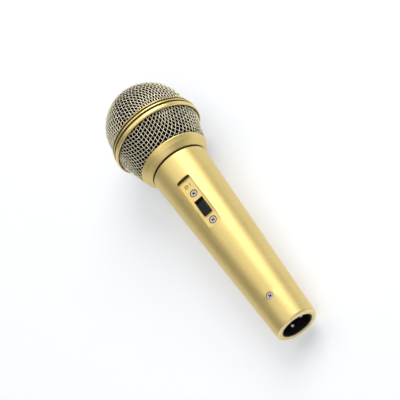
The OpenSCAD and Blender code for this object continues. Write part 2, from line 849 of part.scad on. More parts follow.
// one contact pin: a round tip in the socket, a thicker shank pressed into the floor, and a
// hollow solder end behind it
module socket_pin(i) {
    tip_z = pin_tip_inset + pin_r;
    color("silver") lay_down() rotate([0, 0, pin_angles[i]]) translate([pin_circle_r, 0, 0])
        difference() {
            union() {
                translate([0, 0, tip_z]) sphere(r = pin_r);
                translate([0, 0, tip_z]) cylinder(r = pin_r, h = z_solder - tip_z);
                translate([0, 0, socket_depth]) cylinder(r = pin_shank_r, h = insert_floor);
            }
            translate([0, 0, z_solder - pin_cup_len / 2]) cylinder(r = pin_cup_r, h = far);
        }
}

module retaining_screw() {
    top_x = shell_r(z_retainer) - retainer_sink;
    head_x = shell_r(z_retainer) - retainer_well_depth;
    color("silver") lay_down() difference() {
        union() {
            radial_bar(retainer_head_d / 2, head_x, top_x - head_x, z_retainer);
            radial_bar(retainer_d / 2 - screw_fit, retainer_tip_x,
                       head_x + screw_sink - retainer_tip_x, z_retainer);
        }
        cross_recess(top_x, z_retainer, cross_share * retainer_head_d);
    }
}

// ---- lead wires ----------------------------------------------------------------------------

// the point in the solder end of one pin
function solder_point(i) = [pin_circle_r * cos(pin_angles[i]), pin_circle_r * sin(pin_angles[i]),
                            z_solder];

module wire_capsule_to_switch() {
    z_lug = z_slot + lug_pitch;
    color("red") lay_down() tube(route([
        [0, terminal_y - lug_t / 2 - wire_r, z_terminal + 0.6], [0, 2, z_terminal - 3],
        [-1, 1.5, z_terminal - 7], [lug_x - 2, 0.5, z_lug + 6],
        [lug_x - wire_r, 0, z_lug + 2], [lug_x - wire_r, 0, z_lug - 0.6]
    ], 3), wire_r);
}

module wire_switch_to_pin() {
    z_lug = z_slot - lug_pitch;
    end = solder_point(1);
    color("red") lay_down() tube(route([
        [lug_x - wire_r, 0, z_lug + 0.6], [lug_x - wire_r, 0, z_lug - 2],
        [1, 2, z_lug - 10], [0, 4, z_lug - 20], [0, 4, z_solder + 12],
        end + [0, 0, 4], end
    ], 3), strand_r);
}

module wire_capsule_to_pin() {
    end = solder_point(2);
    color("white") lay_down() tube(route([
        [0, lug_t / 2 + wire_r - terminal_y, z_terminal + 0.6], [-2, -2.5, z_terminal - 4],
        [-6, -3, z_slot + 12], [-7, -3, z_slot], [-6, -3, z_slot - 16],
        [-4, -3, z_solder + 12], end + [0, 0, 4], end
    ], 3), strand_r);
}

module wire_ground() {
    start_z = z_retainer + 34;
    end = solder_point(0);
    color("dimgray") lay_down() tube(route([
        [shell_r(start_z) - handle_wall - 0.9, -2, start_z], [8, -2, start_z - 3],
        [6, -2, z_solder + 6], end + [0, 0, 4], end
    ], 3), strand_r);
}

// ---- the assembly --------------------------------------------------------------------------

handle();
neck_seal_ring();
grille_collar();
lower_grille();
bowl_ring();
dome_ring();
upper_grille();
foam_sleeve();
foam_dome();
shock_mount();
capsule_frame();
capsule_cap();
capsule_felt();
diaphragm_dome();
diaphragm_surround();
voice_coil();
pole_plate();
magnet();
magnet_cup();
rear_chamber();
capsule_terminals();
switch_plate();
switch_can();
switch_base();
switch_terminals();
switch_slider();
switch_contact();
switch_screws();
socket_insert();
socket_pin(0);  // socket_pin_1
socket_pin(1);  // socket_pin_2
socket_pin(2);  // socket_pin_3
retaining_screw();
wire_capsule_to_switch();
wire_switch_to_pin();
wire_capsule_to_pin();
wire_ground();
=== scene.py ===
# %% [markdown]
# # A handheld microphone, dressed for the shelf
# The frame below holds every part of the microphone at its true size, but plain. This lesson
# weaves the wire grilles, fits the foam lining and the switch knob, and gives each part the
# finish that its real material has, with painted shade in its grooves and hollows. The other
# parts, such as the handle, the rings of the head and the screws, keep the frame's shape.

# %% Load the frame
# The frame's parts come in with plain materials. They are removed here, because their names are
# the ones that the finishes below take.
import json
import math
import bpy
import numpy as np
from mathutils import Matrix, Vector


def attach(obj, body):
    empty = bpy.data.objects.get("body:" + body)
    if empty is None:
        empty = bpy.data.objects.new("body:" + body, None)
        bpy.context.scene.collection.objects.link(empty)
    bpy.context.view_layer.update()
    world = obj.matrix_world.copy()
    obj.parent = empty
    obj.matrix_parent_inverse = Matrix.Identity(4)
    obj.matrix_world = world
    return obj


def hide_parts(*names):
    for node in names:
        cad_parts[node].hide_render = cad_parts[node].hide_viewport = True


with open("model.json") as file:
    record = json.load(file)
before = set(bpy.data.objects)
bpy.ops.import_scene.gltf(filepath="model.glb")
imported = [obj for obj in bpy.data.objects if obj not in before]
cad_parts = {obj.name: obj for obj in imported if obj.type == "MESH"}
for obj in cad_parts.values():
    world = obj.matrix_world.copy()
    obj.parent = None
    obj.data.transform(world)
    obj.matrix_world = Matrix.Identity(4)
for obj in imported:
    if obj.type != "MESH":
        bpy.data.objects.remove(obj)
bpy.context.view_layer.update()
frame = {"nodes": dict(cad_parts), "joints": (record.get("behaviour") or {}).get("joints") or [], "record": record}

MM = 0.001
nodes = frame["nodes"]
for plain in list(bpy.data.materials):
    bpy.data.materials.remove(plain)

# %% [markdown]
# ## The microphone's own axis
# The microphone lies on its side, a little tilted, because its head is thicker than its tail. It
# is easier to model it standing up and to lay it down afterwards. The neck's joint tells where
# the axis starts, at the tail, and where it points, to the head. Heights are measured along it,
# and "out" is the side of the switch.

# %% Find the axis
neck_joint = next(j for j in frame["joints"] if j["name"] == "head_turn")
tail = Vector(neck_joint["pos_m"])
to_head = Vector(neck_joint["axis"]).normalized()
to_switch = Vector((to_head.z, 0.0, -to_head.x))
to_side = to_head.cross(to_switch)
lay_down = Matrix.Translation(tail) @ Matrix((to_switch, to_side, to_head)).transposed().to_4x4()


def standing(name):
    """The points of a node in millimetres: switchward, sideways and along the axis."""
    return [lay_down.inverted() @ v.co / MM for v in nodes[name].data.vertices]


def reach(name):
    """Lowest and highest height of a node along the axis, and its greatest radius, in mm."""
    points = standing(name)
    heights = [p.z for p in points]
    return min(heights), max(heights), max(math.hypot(p.x, p.y) for p in points)


def span(name, above=-math.inf):
    """Lowest and highest place of a node, switchward, sideways and along the axis, in mm."""
    points = [p for p in standing(name) if p.x > above]
    return [(min(p[i] for p in points), max(p[i] for p in points)) for i in range(3)]


for name in ("handle", "grille_collar", "lower_grille", "bowl_ring", "upper_grille"):
    print(name, "from %.1f to %.1f mm, radius %.1f mm" % reach(name))

# %% [markdown]
# ## Camera, floor and lights
# A long lens from above one shoulder keeps the handle's taper almost free of perspective. The
# floor is pale and much larger than the view. The handle is a mirror that is stretched round its
# axis, so what it shows stands opposite the camera, beyond the head. One soft light there, to the
# right, gives the long highlight, and a weaker one gives the middle tone. The third stands behind
# the camera, where the handle doesn't show it, and opens the shadow.

# %% Camera
LENS = 126.0
SENSOR_WIDTH = 36.0
NEAREST = 0.01
CAMERA_PLACE = Vector((0.41911, 0.1110, 0.6076))
LOOK_AT = Vector((-0.0028, -0.00102, 0.02516))
CAMERA_ROLL = -53.485

camera_data = bpy.data.cameras.new("camera")
camera_data.lens = LENS
camera_data.sensor_width = SENSOR_WIDTH
camera_data.clip_start = NEAREST
camera = bpy.data.objects.new("camera", camera_data)
bpy.context.scene.collection.objects.link(camera)
bpy.context.scene.camera = camera
aim = (LOOK_AT - CAMERA_PLACE).to_track_quat("-Z", "Y")
roll = Matrix.Rotation(math.radians(CAMERA_ROLL), 4, "Z").to_quaternion()
camera.location = CAMERA_PLACE
camera.rotation_mode = "QUATERNION"
camera.rotation_quaternion = aim @ roll
bpy.context.scene.view_settings.view_transform = "Standard"
print("camera %.0f mm from the microphone" % ((LOOK_AT - CAMERA_PLACE).length / MM))

# %% Floor
FLOOR_SIZE = 6.0
bpy.ops.object.select_all(action="DESELECT")
bpy.ops.mesh.primitive_plane_add(size=FLOOR_SIZE)
floor = bpy.context.object
floor.name = "floor"
print("floor %.0f m wide" % floor.dimensions.x)


# %% Lights
def soft_light(name, direction, distance, size, watts):
    """A square light that stands in a direction from the middle of the floor and faces it."""
    data = bpy.data.lights.new(name, "AREA")
    data.energy = watts
    data.size = size
    lamp = bpy.data.objects.new(name, data)
    bpy.context.scene.collection.objects.link(lamp)
    lamp.location = Vector(direction).normalized() * distance
    lamp.rotation_euler = (-lamp.location).to_track_quat("-Z", "Y").to_euler()
    return lamp


lamps = [
    soft_light("key", direction=(-0.47, 0.54, 0.70), distance=1.2, size=0.9, watts=8.6),
    soft_light("overhead", direction=(-0.45, -0.25, 0.85), distance=2.2, size=1.6, watts=9.0),
    soft_light("fill", direction=(0.55, -0.05, 0.83), distance=2.2, size=1.5, watts=12.0)]
ROOM_COLOUR = (0.93, 0.95, 1.0)
ROOM_STRENGTH = 0.38
room = bpy.data.worlds.new("room")
bpy.context.scene.world = room
room.use_nodes = True
room.node_tree.nodes["Background"].inputs["Color"].default_value = (*ROOM_COLOUR, 1)
room.node_tree.nodes["Background"].inputs["Strength"].default_value = ROOM_STRENGTH
print(len(lamps), "lights and a dim room")

# %% [markdown]
# ## Shared surface effects
# Real surfaces are never one colour. These small node groups make the effects that several
# finishes share: where a point lies on the microphone, fine grain, turned lines, worn paint and
# settled dust. Each puts out values that a finish mixes in its own way.


# %% Helpers for node groups
def new_group(name, inputs, outputs):
    group = bpy.data.node_groups.new(name, "ShaderNodeTree")
    for label, value in inputs:
        socket = group.interface.new_socket(label, in_out="INPUT", socket_type="NodeSocketFloat")
        socket.default_value = value
    for label in outputs:
        group.interface.new_socket(label, in_out="OUTPUT", socket_type="NodeSocketFloat")
    return group, group.nodes.new("NodeGroupInput"), group.nodes.new("NodeGroupOutput")


def maths(tree, operation, first, second=None, third=None, clamp=False):
    node = tree.nodes.new("ShaderNodeMath")
    node.operation = operation
    node.use_clamp = clamp
    for socket, value in zip(node.inputs, (first, second, third)):
        if value is None:
            continue
        if isinstance(value, (int, float)):
            socket.default_value = value
        else:
            tree.links.new(value, socket)
    return node.outputs[0]


def noise(tree, coordinates, scale, detail, roughness=0.55):
    node = tree.nodes.new("ShaderNodeTexNoise")
    node.inputs["Detail"].default_value = detail
    node.inputs["Roughness"].default_value = roughness
    tree.links.new(coordinates, node.inputs["Vector"])
    if isinstance(scale, (int, float)):
        node.inputs["Scale"].default_value = scale
    else:
        tree.links.new(scale, node.inputs["Scale"])
    return node.outputs["Fac"]


def object_place(tree):
    return tree.nodes.new("ShaderNodeTexCoord").outputs["Object"]


def along(tree, direction, origin):
    """How far a point lies from origin along a direction, in metres."""
    shift = tree.nodes.new("ShaderNodeVectorMath")
    shift.operation = "SUBTRACT"
    shift.inputs[1].default_value = origin
    dot = tree.nodes.new("ShaderNodeVectorMath")
    dot.operation = "DOT_PRODUCT"
    dot.inputs[1].default_value = direction
    tree.links.new(object_place(tree), shift.inputs[0])
    tree.links.new(shift.outputs["Vector"], dot.inputs[0])
    return dot.outputs["Value"]


# %% Place on the microphone: height, depth towards the switch, side and radius, in millimetres
place_group, _, out = new_group(
    "place on the microphone", [], ["Height", "Out", "Side", "Radius"])
values = {}
for label, direction in (("Height", to_head), ("Out", to_switch), ("Side", to_side)):
    metres = along(place_group, direction, tail)
    values[label] = maths(place_group, "MULTIPLY", metres, 1 / MM)
squares = maths(place_group, "MULTIPLY", values["Side"], values["Side"])
squares = maths(place_group, "MULTIPLY_ADD", values["Out"], values["Out"], squares)
values["Radius"] = maths(place_group, "SQRT", squares)
for label, socket in values.items():
    place_group.links.new(socket, out.inputs[label])
print("place effect gives", ", ".join(values))


# %% Fine grain: a small even roughness
def centred(tree, value, strength):
    """A noise value as a swing about zero."""
    return maths(tree, "MULTIPLY", maths(tree, "SUBTRACT", value, 0.5), strength)


grain_group, entry, out = new_group("fine grain", [("Scale", 900.0), ("Strength", 1.0)], ["Value"])
speckle = noise(grain_group, object_place(grain_group), entry.outputs["Scale"], 2.0)
grain_group.links.new(centred(grain_group, speckle, entry.outputs["Strength"]),
                      out.inputs["Value"])
print(grain_group.name, "has", len(grain_group.nodes), "nodes")


# %% Turned lines: faint rings that a lathe or a brush leaves round the axis
def effect_node(tree, group, **settings):
    node = tree.nodes.new("ShaderNodeGroup")
    node.node_tree = group
    for label, value in settings.items():
        node.inputs[label.replace("_", " ")].default_value = value
    return node


LINE_STRETCH = 0.02
lines_group, entry, out = new_group("turned lines", [("Per mm", 3.0), ("Strength", 1.0)], ["Value"])
place = effect_node(lines_group, place_group).outputs
strip = lines_group.nodes.new("ShaderNodeCombineXYZ")
lines_group.links.new(maths(lines_group, "MULTIPLY", place["Height"], entry.outputs["Per mm"]),
                      strip.inputs["X"])
lines_group.links.new(maths(lines_group, "MULTIPLY", place["Side"], LINE_STRETCH),
                      strip.inputs["Y"])
streak = noise(lines_group, strip.outputs["Vector"], 1.0, 4.0, 0.7)
lines_group.links.new(centred(lines_group, streak, entry.outputs["Strength"]),
                      out.inputs["Value"])
print(lines_group.name, "has", len(lines_group.nodes), "nodes")

# %% Worn band: a patchy mask round a stretch of the axis, for rubbed edges
wear_group, entry, out = new_group(
    "worn band", [("Middle", 0.0), ("Half width", 1.0), ("Patchiness", 0.5)], ["Mask"])
place = effect_node(wear_group, place_group).outputs
distance = maths(wear_group, "ABSOLUTE", maths(
    wear_group, "SUBTRACT", place["Height"], entry.outputs["Middle"]))
share = maths(wear_group, "DIVIDE", distance, entry.outputs["Half width"])
band = maths(wear_group, "SUBTRACT", 1.0, share, clamp=True)
patches = noise(wear_group, object_place(wear_group), 260.0, 5.0, 0.65)
holes = maths(wear_group, "MULTIPLY", patches, entry.outputs["Patchiness"])
mask = maths(wear_group, "SUBTRACT", band, holes, clamp=True)
wear_group.links.new(maths(wear_group, "MULTIPLY", mask, 2.0, clamp=True), out.inputs["Mask"])
print(wear_group.name, "has", len(wear_group.nodes), "nodes")

# %% Settled dust: thin and patchy, only on faces that look up
dust_group, entry, out = new_group("settled dust", [("Amount", 0.2)], ["Mask"])
geometry = dust_group.nodes.new("ShaderNodeNewGeometry")
split = dust_group.nodes.new("ShaderNodeSeparateXYZ")
dust_group.links.new(geometry.outputs["Normal"], split.inputs[0])
cloud = noise(dust_group, object_place(dust_group), 140.0, 6.0, 0.7)
spread = maths(dust_group, "MULTIPLY", maths(dust_group, "SUBTRACT", cloud, 0.42), 2.2, clamp=True)
upward = maths(dust_group, "MULTIPLY", maths(dust_group, "MAXIMUM", split.outputs["Z"], 0.0),
               spread)
dust_group.links.new(maths(dust_group, "MULTIPLY", upward, entry.outputs["Amount"]),
                     out.inputs["Mask"])
print(len(bpy.data.node_groups), "shared effects")

# %% [markdown]
# ## Finishes
# A finish starts from the plain shader with its constants, and then gets its colour, roughness
# and relief from the shared effects. Most parts need only fine grain, so one helper makes all
# of those finishes.


# %% Helpers for finishes
def new_finish(name, colour, roughness, metallic=0.0, **constants):
    material = bpy.data.materials.new(name)
    material.use_nodes = True
    material.diffuse_color = (*colour, 1.0)
    shader = material.node_tree.nodes["Principled BSDF"]
    shader.inputs["Base Color"].default_value = (*colour, 1.0)
    shader.inputs["Roughness"].default_value = roughness
    shader.inputs["Metallic"].default_value = metallic
    for label, value in constants.items():
        shader.inputs[label.replace("_", " ")].default_value = value
    return material.node_tree, shader


def effect(tree, group, **settings):
    return effect_node(tree, group, **settings).outputs[0]


def tint(tree, mask, below, above):
    """A colour that goes from one to another by a mask. Either may be a socket."""
    node = tree.nodes.new("ShaderNodeMix")
    node.data_type = "RGBA"
    tree.links.new(mask, node.inputs["Factor"])
    for label, value in (("A", below), ("B", above)):
        socket = next(s for s in node.inputs if s.name == label and s.type == "RGBA")
        if isinstance(value, tuple):
            socket.default_value = (*value, 1.0)
        else:
            tree.links.new(value, socket)
    return next(s for s in node.outputs if s.type == "RGBA")


def relief(tree, shader, height, strength, depth=0.02 * MM):
    bump = tree.nodes.new("ShaderNodeBump")
    bump.inputs["Strength"].default_value = strength
    bump.inputs["Distance"].default_value = depth
    tree.links.new(height, bump.inputs["Height"])
    tree.links.new(bump.outputs["Normal"], shader.inputs["Normal"])


print(len(bpy.data.materials), "finishes so far")


# %% Gold paint: satin, with fine flakes, faint turned lines, and rubbed brighter at its edges
GOLD = (0.80, 0.64, 0.26)
GOLD_DEEP = (0.68, 0.51, 0.18)
GOLD_RUBBED = (0.88, 0.76, 0.42)
GOLD_DUST = (0.75, 0.70, 0.58)
TAIL_RIM, TAIL_RIM_HALF = 0.3, 1.1


def gold_paint(name, roughness, rubbed):
    """Gold paint, rubbed at some bands, which are given as their middle and half width in mm."""
    tree, shader = new_finish(name, GOLD, roughness, 1.0)
    lines = effect(tree, lines_group, Per_mm=2.2, Strength=1.6)
    flakes = effect(tree, grain_group, Scale=2600.0, Strength=1.5)
    blotch = effect(tree, grain_group, Scale=45.0, Strength=1.0)
    mottle = maths(tree, "ADD", maths(tree, "ADD", lines, flakes), blotch)
    surface = tint(tree, maths(tree, "ADD", mottle, 0.65, clamp=True), GOLD_DEEP, GOLD)
    for middle, half in rubbed:
        worn = effect(tree, wear_group, Middle=middle, Half_width=half, Patchiness=0.9)
        surface = tint(tree, worn, surface, GOLD_RUBBED)
    surface = tint(tree, effect(tree, dust_group, Amount=0.03), surface, GOLD_DUST)
    tree.links.new(surface, shader.inputs["Base Color"])
    rough = maths(tree, "MULTIPLY_ADD", mottle, 0.10, roughness)
    tree.links.new(rough, shader.inputs["Roughness"])
    relief(tree, shader, mottle, 0.12)


gold_paint("gold_paint", 0.47, [(TAIL_RIM, TAIL_RIM_HALF)])
gold_paint("gold_band", 0.36, [])
print("gold paint for the handle and a glossier one for the band")

# %% [markdown]
# ## Painted shade
# Brown painted shade darkens the places where light hardly reaches: between the rings of the band
# and under its edge, at the neck's groove, along the walls and head end of the switch's recess,
# round the screws' wells, in the crosses of the screws and in the dips of the wires. Each of those
# places is found by its height, side or radius, so the painted shade is a mask over a finish that
# is already mixed. The two marks beside the slot are drawn in the same dark colour.

# %% Helpers for painted shade and marks
# The brown of the painted shade, which also draws the two marks in the recess.
SHADE_AND_MARKS = (0.060, 0.036, 0.010)
SHADE_AND_MARKS_DULL = 0.3
EDGE_SHARPNESS = 2.2


def near(tree, value, middle, half):
    """A mask that is 1 where a value is at the middle and 0 beyond half a width from it."""
    share = maths(tree, "DIVIDE", maths(tree, "ABSOLUTE", maths(tree, "SUBTRACT", value, middle)),
                  half)
    inside = maths(tree, "SUBTRACT", 1.0, share, clamp=True)
    return maths(tree, "MULTIPLY", inside, EDGE_SHARPNESS, clamp=True)


def ramp(tree, value, start, per_mm):
    """A mask that is 0 up to a start and grows past it, or before it if per_mm is negative."""
    return maths(tree, "MULTIPLY", maths(tree, "SUBTRACT", value, start), per_mm, clamp=True)


def most(tree, first, *others):
    for other in others:
        first = maths(tree, "MAXIMUM", first, other)
    return first


def distance_from(tree, rise, aside):
    squares = maths(tree, "MULTIPLY", aside, aside)
    return maths(tree, "SQRT", maths(tree, "MULTIPLY_ADD", rise, rise, squares))


def add_shade_and_marks(name, mask_of):
    """Painted shade, dark and dull, over a finish where a mask made from the place on the microphone says. The
    recess's marks take the same colour.
    """
    tree = bpy.data.materials[name].node_tree
    mask = mask_of(tree, effect_node(tree, place_group).outputs)
    shader = tree.nodes["Principled BSDF"]
    colour, rough = shader.inputs["Base Color"], shader.inputs["Roughness"]
    tree.links.new(tint(tree, mask, colour.links[0].from_socket, SHADE_AND_MARKS), colour)
    dulled = maths(tree, "MULTIPLY_ADD", mask, SHADE_AND_MARKS_DULL, rough.links[0].from_socket)
    tree.links.new(dulled, rough)


print("grime of colour", SHADE_AND_MARKS)

# %% Painted shade between the rings of the band, under its lower edge and at the neck
collar_low, collar_high, _ = reach("grille_collar")
band_foot, band_split, _ = reach("bowl_ring")
_, band_top, _ = reach("dome_ring")
SPLIT_LINE, SPLIT_HALF = band_split + 0.25, 0.72
LIP_LINE, LIP_HALF = band_top - 1.38, 0.95
FOOT_HALF = 1.2
BAND_SKIN_R = 25.5
COLLAR_HALF = 0.45


# Painted shade: dark lines in the band's two grooves, under its lower edge where it tucks in, and along the
# collar's foot at the neck's groove.
def band_shade(tree, place):
    split_line = near(tree, place["Height"], SPLIT_LINE, SPLIT_HALF)
    lip_line = near(tree, place["Height"], LIP_LINE, LIP_HALF)
    tucked = ramp(tree, place["Radius"], BAND_SKIN_R, -3.0)
    foot = maths(tree, "MINIMUM", tucked, near(tree, place["Height"], band_foot, FOOT_HALF))
    neck = near(tree, place["Height"], collar_low, COLLAR_HALF)
    return most(tree, split_line, lip_line, foot, neck)


add_shade_and_marks("gold_band", band_shade)
print("grime at %.1f, %.1f and %.1f mm" % (band_foot, SPLIT_LINE, LIP_LINE))

# %% Places in the recess: the screws, the two marks and the head end
screw_out, screw_side, screw_span = span("switch_screws")
sunk_out, sunk_side, sunk_span = span("retaining_screw")
SCREW_R = screw_side[1]
SCREW_PLACES = [screw_span[0] + SCREW_R, screw_span[1] - SCREW_R]
SUNK_R, SUNK_PLACE = sunk_side[1], sum(sunk_span) / 2
RECESS_END = sum(SCREW_PLACES) / 2 + 19.5
RECESS_WALL = 3.5
MARK_PLACE, MARK_R, MARK_APART = SCREW_PLACES[1] + 5.4, 0.85, 1.2
print("screws at %.1f, %.1f and %.1f mm" % (*SCREW_PLACES, SUNK_PLACE))

# %% Painted shade in the recess, along its walls, at its head end and round the screws, and its two marks drawn dark
# The handle's skin is a cone. Its slope is taken over the handle with its thread, which puts the
# line 0.2 mm under the skin at the recess, so the painted shade starts just below the recess's edge.
SKIN_LOW, SKIN_LOW_R, SKIN_HIGH_R = 1.5, 11.4, 16.3
handle_low, handle_high, _ = reach("handle")
skin_foot = handle_low + SKIN_LOW
TAPER = (SKIN_HIGH_R - SKIN_LOW_R) / (handle_high - skin_foot)
EDGE_DEPTH = 0.12
SWITCH_SIDE = 5.0
TAIL_END = 5.0
END_REACH = 0.9
WELL_GAP, WELL_HALF = 0.1, 0.42
RING_HALF, BAR_HALF = 0.35, 0.3
WALL_SHARE, END_SHARE, MARK_SHARE = 0.75, 0.85, 0.6
SEAM, SEAM_HALF = collar_low - 0.8, 0.5


def recess_marks(tree, place):
    """The ring and the bar beside the slot, two marks drawn dark."""
    rise = maths(tree, "SUBTRACT", place["Height"], MARK_PLACE)
    aside = maths(tree, "ADD", place["Side"], MARK_APART)
    ring = near(tree, distance_from(tree, rise, aside), MARK_R, RING_HALF)
    bar = maths(tree, "MULTIPLY", near(tree, place["Side"], MARK_APART, BAR_HALF),
                maths(tree, "LESS_THAN", maths(tree, "ABSOLUTE", rise), MARK_R))
    return maths(tree, "MAXIMUM", ring, bar)


# Painted shade along the recess's walls, at its head end, in rings round the screws' wells and at the seam under
# the neck. The marks beside the slot are drawn in the same colour.
def recess_shade_and_marks(tree, place):
    wall = ramp(tree, place["Side"], RECESS_WALL, 3.0)
    end = ramp(tree, place["Height"], RECESS_END - END_REACH, 2.0)
    wells = []
    for height, radius in [(z, SCREW_R) for z in SCREW_PLACES] + [(SUNK_PLACE, SUNK_R)]:
        rise = maths(tree, "SUBTRACT", place["Height"], height)
        away = distance_from(tree, rise, place["Side"])
        wells.append(near(tree, away, radius + WELL_GAP, WELL_HALF))
    shares = ((wall, WALL_SHARE), (end, END_SHARE), (recess_marks(tree, place), MARK_SHARE))
    mask = most(tree, *(maths(tree, "MULTIPLY", part, share) for part, share in shares), *wells)
    rise = maths(tree, "SUBTRACT", place["Height"], skin_foot)
    skin = maths(tree, "MULTIPLY_ADD", rise, TAPER, SKIN_LOW_R)
    sunken = ramp(tree, maths(tree, "SUBTRACT", skin, place["Radius"]), EDGE_DEPTH, 6.0)
    mask = maths(tree, "MULTIPLY", mask, sunken)
    for label, limit in (("Out", SWITCH_SIDE), ("Height", TAIL_END)):
        mask = maths(tree, "MULTIPLY", mask, maths(tree, "GREATER_THAN", place[label], limit))
    return maths(tree, "MAXIMUM", mask, near(tree, place["Height"], SEAM, SEAM_HALF))


add_shade_and_marks("gold_paint", recess_shade_and_marks)
print("grime in the recess up to %.1f mm" % RECESS_END)

# %% [markdown]
# ## The other finishes
# Rubber, plastics, felt, film, metals, board, insulation and foam differ in colour, gloss and the
# size of their grain. The same helper makes them all. The wires of the grilles are a pale gold
# with painted shade, dark and dull, where they dip under each other.

# %% Metals, plastics, rubber, foam and the other grained finishes
GRAIN_ROUGHENS = 0.15


def grained(name, colour, roughness, metallic=0.0, shade=0.8, scale=900.0, bump=0.2, **constants):
    """A finish with fine grain in its colour, roughness and relief."""
    tree, shader = new_finish(name, colour, roughness, metallic, **constants)
    grain = effect(tree, grain_group, Scale=scale, Strength=2.0)
    deeper = tuple(c * shade for c in colour)
    surface = tint(tree, maths(tree, "ADD", grain, 0.5, clamp=True), deeper, colour)
    tree.links.new(surface, shader.inputs["Base Color"])
    rough = maths(tree, "MULTIPLY_ADD", grain, GRAIN_ROUGHENS, roughness)
    tree.links.new(rough, shader.inputs["Roughness"])
    relief(tree, shader, grain, bump)


grained("rubber_black", (0.005, 0.005, 0.005), 0.70, scale=1500.0, Specular_IOR_Level=0.25)
grained("plastic_black", (0.009, 0.009, 0.011), 0.42, scale=1800.0, Specular_IOR_Level=0.3)
grained("plastic_grey", (0.13, 0.13, 0.14), 0.45, scale=1500.0)
grained("felt", (0.20, 0.20, 0.21), 0.95, shade=0.45, scale=2400.0, bump=0.7, Sheen_Weight=0.3)
grained("film", (0.78, 0.74, 0.58), 0.22, shade=0.9, scale=300.0, Coat_Weight=0.4)
grained("coil_copper", (0.72, 0.32, 0.14), 0.35, 1.0, scale=3000.0)
grained("steel", (0.62, 0.62, 0.61), 0.36, 1.0, scale=700.0)
grained("magnet_plated", (0.55, 0.54, 0.53), 0.22, 1.0, shade=0.9, scale=400.0)
grained("screw_nickel", (0.52, 0.44, 0.43), 0.30, 1.0, scale=1200.0)
grained("tinned_brass", (0.72, 0.68, 0.55), 0.32, 1.0)
grained("contact_brass", (0.78, 0.58, 0.26), 0.30, 1.0)
grained("phenolic", (0.30, 0.15, 0.06), 0.50, shade=0.6, scale=700.0)
grained("wire_red", (0.50, 0.03, 0.025), 0.38, scale=600.0)
grained("wire_white", (0.74, 0.74, 0.70), 0.38, shade=0.92, scale=600.0)
grained("wire_grey", (0.20, 0.20, 0.21), 0.38, scale=600.0)
grained("foam", (0.006, 0.004, 0.002), 0.95, shade=0.3, scale=1300.0, bump=1.0,
        Specular_IOR_Level=0.0)
grained("grille_wire", (1.0, 0.92, 0.69), 0.40, 1.0, scale=1200.0)
grained("floor_paper", (0.72, 0.73, 0.75), 0.85, shade=0.985, scale=60.0, bump=0.05,
        Emission_Color=(0.96, 0.98, 1.0, 1.0), Emission_Strength=0.27)
print(len(bpy.data.materials), "finishes")

# %% Painted shade in the crosses of the screws and in the dips of the wires
BETWEEN_SCREWS = 30.0
CROSS_DEPTH = 0.08
PIN_REACH = 7.0


def cross_shade(tree, place):
    """Painted shade in the cross, which lies under the top of its screw. The contact pins, nearer the axis, stay
    unshaded.
    """
    higher = maths(tree, "GREATER_THAN", place["Height"], BETWEEN_SCREWS)
    top = maths(tree, "MULTIPLY_ADD", higher, screw_out[1] - sunk_out[1], sunk_out[1])
    sunk = ramp(tree, maths(tree, "SUBTRACT", top, place["Out"]), CROSS_DEPTH, 8.0)
    return maths(tree, "MULTIPLY", sunk, maths(tree, "GREATER_THAN", place["Out"], PIN_REACH))


def wire_shade(tree, place):
    """Painted shade where a wire dips under the next one, by the rise that is stored on its points."""
    rise = tree.nodes.new("ShaderNodeAttribute")
    rise.attribute_name = "rise"
    return maths(tree, "MULTIPLY", rise.outputs["Fac"], -0.70, clamp=True)


add_shade_and_marks("screw_nickel", cross_shade)
add_shade_and_marks("grille_wire", wire_shade)
print("grime in the crosses and on the wires")

# %% Give the floor and every part its finish
floor.data.materials.append(bpy.data.materials["floor_paper"])
finish_of = {p["node"]: p["material_slot"] for p in frame["record"]["subparts"]}
for name, node in nodes.items():
    node.data.materials.clear()
    node.data.materials.append(bpy.data.materials[finish_of[name]])
print(len(nodes), "nodes wear", len(set(finish_of.values())), "finishes")

# %% [markdown]
# ## The woven grilles
# A grille is pressed from a flat sheet of woven wire. Pressing doesn't stretch the wires: the
# crossings stay evenly spaced along each wire, and the square cells slant into diamonds where
# the sheet is drawn in. The wires slip a little where the slant is greatest, which opens the
# diamonds again. Those two rules fix the whole pattern. Two wires cross at the pole,
# and every further crossing lies one pitch from two neighbours that are already known. Editing
# tools can't weave, so the wires are curves through the crossings, and become a mesh at the end.

# %% Solve for the crossings
# Lengths are in millimetres. SLIP is the share of a pitch by which the most slanted cell opens,
# and the slip grows from none at the pole to its full share at a distance from it.
PITCH = 2.0
WIRE_R = 0.19
SLIP = 0.09
SLIP_GROWS_OVER = 24.0
MOST_ROWS = 80
NEWTON_STEPS, CLOSE_ENOUGH = 25, 1e-7
STRAIGHTEN_STEPS = 20


def crossing(a, b, guess, skin, pitch):
    """The point on a skin that is one pitch from both a and b, by Newton's method."""
    p = guess
    for _ in range(NEWTON_STEPS):
        off, normal = skin(p)
        to_a, to_b = np.linalg.norm(p - a), np.linalg.norm(p - b)
        error = np.array([to_a - pitch, to_b - pitch, off])
        if np.abs(error).max() < CLOSE_ENOUGH:
            return p
        p = p - np.linalg.solve(np.array([(p - a) / to_a, (p - b) / to_b, normal]), error)
    return None


def straight_wire(pole, direction, skin, keep):
    """Crossings along one of the two wires that pass through the pole."""
    points, heading = [pole], np.array(direction, float)
    while keep(points[-1]):
        p = points[-1] + heading * PITCH
        for _ in range(STRAIGHTEN_STEPS):
            off, normal = skin(p)
            step = p - normal * off - points[-1]
            p = points[-1] + step / np.linalg.norm(step) * PITCH
        heading = (p - points[-1]) / PITCH
        points.append(p)
    return points


